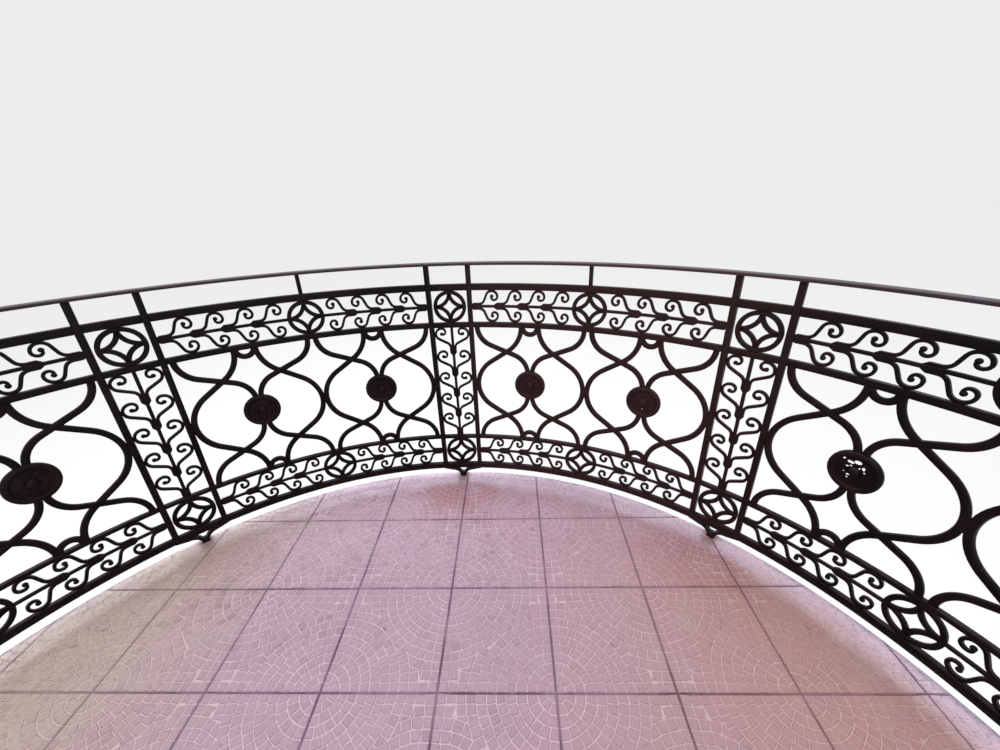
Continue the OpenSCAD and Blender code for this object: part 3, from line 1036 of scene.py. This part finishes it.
def arc_bar(name, turn_0, turn_1, height, depth, soft):
    """A bar that follows the curve between two angles, about z = 0."""
    start_drawing()
    foot = centre + Matrix.Rotation(math.radians(turn_0), 3, "Z") @ Vector((0, -rail_r, 0))
    bpy.ops.mesh.primitive_plane_add(size=1, location=foot)
    bpy.ops.transform.resize(value=(height, depth, 1), center_override=foot)
    bpy.ops.transform.rotate(value=math.radians(-90), orient_axis="Y", center_override=foot)
    bpy.ops.transform.rotate(value=-math.radians(turn_0), orient_axis="Z", center_override=foot)
    bpy.ops.mesh.bevel(offset=soft, affect="VERTICES", segments=1)
    count = max(1, math.ceil(abs(turn_1 - turn_0) / stem_step))
    bpy.ops.mesh.spin(
        steps=count, angle=-math.radians(turn_1 - turn_0), center=centre, axis=(0, 0, 1)
    )
    return end_drawing(name)


def frieze(node, name, turn):
    """A bay of frieze: a stem from each post up to a rosette, with scrolls along it."""
    low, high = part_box(node)
    z, reach = (low.z + high.z) / 2, (high.z - low.z) / 2
    kind = node[:5]
    if kind not in drawings:
        drawings[kind] = (
            scroll_pair(f"{kind}_pair", reach, frieze_rise),
            rosette(f"{kind}_rosette", reach + seat),
        )
    pair, ring = drawings[kind]
    start = post_x + post_w / 2
    first = start + collar_l - collar_sink
    free = half_bay - reach - first - scroll_reach(reach, frieze_rise) - stem_t
    bay = Matrix.Rotation(math.radians(turn), 4, "Z")
    about = Matrix.Translation(centre) @ bay @ Matrix.Translation(-centre)
    mirror = Matrix.Diagonal((-1, 1, 1, 1))
    ring_turn = math.degrees(math.asin(reach / rail_r))
    post_turn = math.degrees((half_bay - start + stem_in_post) / rail_r)
    stem = arc_bar("stem", -post_turn, -ring_turn, stem_t, stem_d, stem_soft)
    parts = [copy_at(ring, upright(turn, z))]
    for side in (Matrix.Identity(4), mirror):
        flip = side is mirror
        parts.append(copy_at(stem, about @ side @ Matrix.Translation((0, 0, z)), flip))
        for k in range(pairs_in_half_bay):
            along = first + k * free / (pairs_in_half_bay - 1) - half_bay
            place = about @ side @ upright(math.degrees(along / rail_r), z)
            parts.append(copy_at(pair, place, flip))
    delete(stem)
    piece = join(parts, name)
    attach(piece, "root")
    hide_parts(node)
    dress(piece, iron)


for i in range(1, 5):
    frieze(f"lower_frieze_{i}", f"frieze_lower_{i}", bay_turns[i - 1])
    frieze(f"upper_frieze_{i}", f"frieze_upper_{i}", bay_turns[i - 1])


# Pilasters. Between the two posts stands a tree of five pairs of scrolls on a square stem,
# with a rosette over it and one under it.
panel_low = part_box("sill_rail")[1].z
panel_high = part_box("head_rail")[0].z
panel_h = panel_high - panel_low
clear = post_x - post_w / 2
pilaster_rise = 62
pairs_in_pilaster = 5
let_in = 0.001
pilaster_pair = scroll_pair("pilaster_pair", clear, pilaster_rise)
start_drawing()
stem = Bar(stem_t, scroll_d, 0, panel_low - let_in, 90, stem_soft)
stem.straight(panel_h + 2 * let_in)
pilaster_stem = end_drawing("pilaster_stem")
first = collar_l - collar_sink
pilaster_step = (panel_h - first - scroll_reach(clear, pilaster_rise)) / (pairs_in_pilaster - 1)
for i, turn in enumerate(pilaster_turns, 1):
    parts = [copy_at(pilaster_stem, upright(turn))]
    for k in range(pairs_in_pilaster):
        place = upright(turn, panel_low + first + k * pilaster_step)
        place = place @ Matrix.Rotation(math.radians(-90), 4, "Y")
        parts.append(copy_at(pilaster_pair, place))
    for node, kind in (("upper_frieze_1", "upper"), ("lower_frieze_1", "lower")):
        low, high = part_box(node)
        parts.append(copy_at(drawings[kind][1], upright(turn, (low.z + high.z) / 2)))
    piece = join(parts, f"pilaster_scrolls_{i}")
    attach(piece, "root")
    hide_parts(f"pilaster_ornament_{i}")
    dress(piece, iron)
delete(pilaster_pair)
delete(pilaster_stem)
for pair, ring in drawings.values():
    delete(pair)
    delete(ring)


# Arabesques. Round-edged bar in two long S-curves and four ogees about each medallion,
# with half rings under the head rail and over the sill.
arabesque_w = 0.020
arabesque_d = 0.014
medallion_r = 0.066
medallion_lift = 0.004
arabesque_soft = 0.004
half_ring_r = 0.030
bulge_x = 0.036
bulge_turn = 56
half_panel = (half_bay - post_x - post_w / 2) / 2
half_panel_turn = math.degrees(half_panel / rail_r)
ogee_x = half_panel - 0.016
ogee_turn = 67
panel_mid = (panel_low + panel_high) / 2
top = panel_h / 2 + 2 * let_in


def s_bend(across, along, turn):
    """Bend radius and middle straight of an S that moves across over along."""
    turn = math.radians(turn)
    radius = (along * math.sin(turn) - across * math.cos(turn)) / (1 - math.cos(turn)) / 2
    straight = (across * (1 + math.cos(turn)) - along * math.sin(turn)) / math.sin(turn)
    return radius, straight


bulge_r, bulge_l = s_bend(half_panel + seat - arabesque_w / 2 - bulge_x, top, bulge_turn)
start_drawing()
bulge = Bar(arabesque_w, arabesque_d, bulge_x, top, -90, arabesque_soft, 2)
bulge.bend(bulge_r, bulge_turn, 6)
for turn in (-2 * bulge_turn, bulge_turn):
    bulge.straight(bulge_l)
    bulge.bend(bulge_r, turn, 6)
mirrored("x")
bulges = end_drawing("bulges")
halves = []
for lift in (-medallion_lift, medallion_lift):
    drop = top - medallion_r * 0.8 + lift
    ogee_r, ogee_l = s_bend(ogee_x - arabesque_w / 2 + weld, drop, ogee_turn)
    start_drawing()
    ogee = Bar(arabesque_w, arabesque_d, ogee_x, top, -90, arabesque_soft, 2)
    ogee.bend(ogee_r, -ogee_turn, 6)
    ogee.straight(ogee_l)
    ogee.bend(ogee_r, ogee_turn, 6)
    mirrored("x")
    rail_z = panel_h / 2 + let_in
    half_ring = Bar(arabesque_w, arabesque_d, half_ring_r, rail_z, -90, arabesque_soft, 2)
    half_ring.bend(half_ring_r, -180, 12)
    halves.append(end_drawing("ogees"))
halves[1].data.transform(Matrix.Diagonal((1, 1, -1, 1)))
halves[1].data.flip_normals()
half_arabesque = join([bulges, *halves], "half_arabesque")
# Bent to the curve: the flat drawing is pressed back on the circle, square to the panel
for vertex in half_arabesque.data.vertices:
    ring = rail_r - vertex.co.y
    vertex.co.y = rail_r - math.sqrt(ring * ring - vertex.co.x * vertex.co.x)
for i, turn in enumerate(bay_turns, 1):
    parts = []
    for side in (-1, 1):
        place = upright(turn + side * half_panel_turn, panel_mid)
        parts.append(copy_at(half_arabesque, place))
    piece = join(parts, f"arabesque_bars_{i}")
    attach(piece, "root")
    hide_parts(f"arabesque_{i}")
    dress(piece, iron)
delete(half_arabesque)


# Medallions. Round castings, alike on both faces: a bold rim, a sunk field with eight
# petals, and a boss in the middle.
cast_iron = iron_paint(
    "medallion_cast", paint=(0.0050, 0.0026, 0.0026), tint=(0.014, 0.0060, 0.0062),
    lit_bay_tone=(0.050, 0.019, 0.022), polish_and_sheen=(0.055, 0.034, 0.036), dull=0.42, rust_share=0.0,
)
medallion_profile = [
    (0.0656, 0.0045), (0.0640, 0.0080), (0.0605, 0.0108), (0.0555, 0.0120), (0.0510, 0.0110),
    (0.0482, 0.0088), (0.0468, 0.0052), (0.0405, 0.0046), (0.0365, 0.0050), (0.0215, 0.0078),
    (0.0180, 0.0072), (0.0165, 0.0120), (0.0130, 0.0165), (0.0080, 0.0190), (0.0030, 0.0199),
]
petals = 8
petal_from, petal_to = 0.0170, 0.0400
petal_rise = 0.0042
petal_sink = 0.35
bpy.ops.object.select_all(action="DESELECT")
bpy.ops.mesh.primitive_circle_add(vertices=48, radius=medallion_r, fill_type="NOTHING")
medallion = bpy.context.object
bpy.ops.object.mode_set(mode="EDIT")
before_r, before_h = medallion_r, 0.0
for radius, height in medallion_profile:
    bpy.ops.mesh.extrude_region_move(TRANSFORM_OT_translate={"value": (0, 0, height - before_h)})
    grow = radius / before_r
    bpy.ops.transform.resize(value=(grow, grow, 1), center_override=(0, 0, 0))
    before_r, before_h = radius, height
bpy.ops.mesh.edge_face_add()
bpy.ops.object.mode_set(mode="OBJECT")
for vertex in medallion.data.vertices:
    radius = vertex.co.xy.length
    if petal_from < radius < petal_to:
        turn = math.atan2(vertex.co.y, vertex.co.x)
        crown = math.sin(math.pi * (radius - petal_from) / (petal_to - petal_from))
        vertex.co.z += petal_rise * crown * (abs(math.cos(turn * petals / 2)) - petal_sink)
mirror = medallion.modifiers.new("two_faces", "MIRROR")
mirror.use_axis = (False, False, True)
mirror.merge_threshold = 1e-5
bpy.ops.object.modifier_apply(modifier="two_faces")
bpy.ops.object.mode_set(mode="EDIT")
medallion = end_drawing("medallion", 35)
ragged_edge = 0.0008


def rusted_through(piece, holes, slant):
    """Cuts ragged, slanting holes in a medallion, each given across, up, width and height."""
    cuts = []
    for across, up, width, height in holes:
        bpy.ops.object.select_all(action="DESELECT")
        bpy.ops.mesh.primitive_cylinder_add(vertices=9, radius=0.5, depth=0.06)
        cut = bpy.context.object
        place = Matrix.Translation((across, up, 0)) @ Matrix.Diagonal((width, height, 1, 1))
        cut.data.transform(place)
        for vertex in cut.data.vertices:
            vertex.co += Vector((slant.x / slant.z, slant.y / slant.z, 0)) * vertex.co.z
        bpy.ops.object.mode_set(mode="EDIT")
        bpy.ops.mesh.select_all(action="SELECT")
        bpy.ops.transform.vertex_random(offset=ragged_edge, seed=len(cuts))
        bpy.ops.object.mode_set(mode="OBJECT")
        cuts.append(cut)
    cutter = join(cuts, "cutter")
    bpy.ops.object.select_all(action="DESELECT")
    piece.select_set(True)
    bpy.context.view_layer.objects.active = piece
    cutting = piece.modifiers.new("rusted_through", "BOOLEAN")
    cutting.operation = "DIFFERENCE"
    cutting.use_self = True
    cutting.object = cutter
    bpy.ops.object.modifier_apply(modifier="rusted_through")
    bpy.ops.object.shade_smooth_by_angle(angle=math.radians(35))
    delete(cutter)


# Two of them have rusted through round the boss, one badly and one in a single spot
rusted = {
    (1, 1): [
        (0.015, 0.026, 0.018, 0.008), (-0.001, 0.032, 0.018, 0.011), (0.032, 0.031, 0.006, 0.006),
        (0.020, 0.010, 0.007, 0.004), (0.012, 0.015, 0.006, 0.004), (-0.017, 0.018, 0.008, 0.010),
        (-0.021, 0.007, 0.005, 0.004), (-0.008, 0.015, 0.004, 0.005), (0.024, -0.010, 0.003, 0.003),
        (0.013, -0.016, 0.008, 0.005), (0.013, -0.025, 0.005, 0.004),
    ],
    (2, -1): [(0.001, -0.031, 0.0035, 0.0035)],
}
for i, turn in enumerate(bay_turns, 1):
    parts = []
    for side in (-1, 1):
        one = copy_at(medallion, Matrix.Identity(4))
        place = upright(turn + side * half_panel_turn, panel_mid + medallion_lift)
        place = place @ Matrix.Rotation(math.radians(90), 4, "X")
        if (i, side) in rusted:
            rusted_through(one, rusted[i, side], place.inverted() @ viewpoint.location)
        one.data.transform(place)
        parts.append(one)
    piece = join(parts, f"medallion_pair_{i}")
    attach(piece, "root")
    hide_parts(f"medallions_{i}")
    dress(piece, cast_iron)
delete(medallion)


# Handrail. Flat bar with well rounded edges, carried on the posts and on a stud in each
# bay, rubbed smooth by hands and thick with paint. Its paint is a lighter purple-grey than
# the other iron: a painted sheen.
handrail_paint_and_sheen = iron_paint(
    "handrail_paint_and_sheen", paint=(0.036, 0.025, 0.036), tint=(0.048, 0.030, 0.043),
    lit_bay_tone=(0.075, 0.036, 0.050), polish_and_sheen=(0.09, 0.07, 0.09), dull=0.34, rust_share=-0.04,
)
dress(finished_copy("handrail", "handrail_bar", 0.0028, 3), handrail_paint_and_sheen)
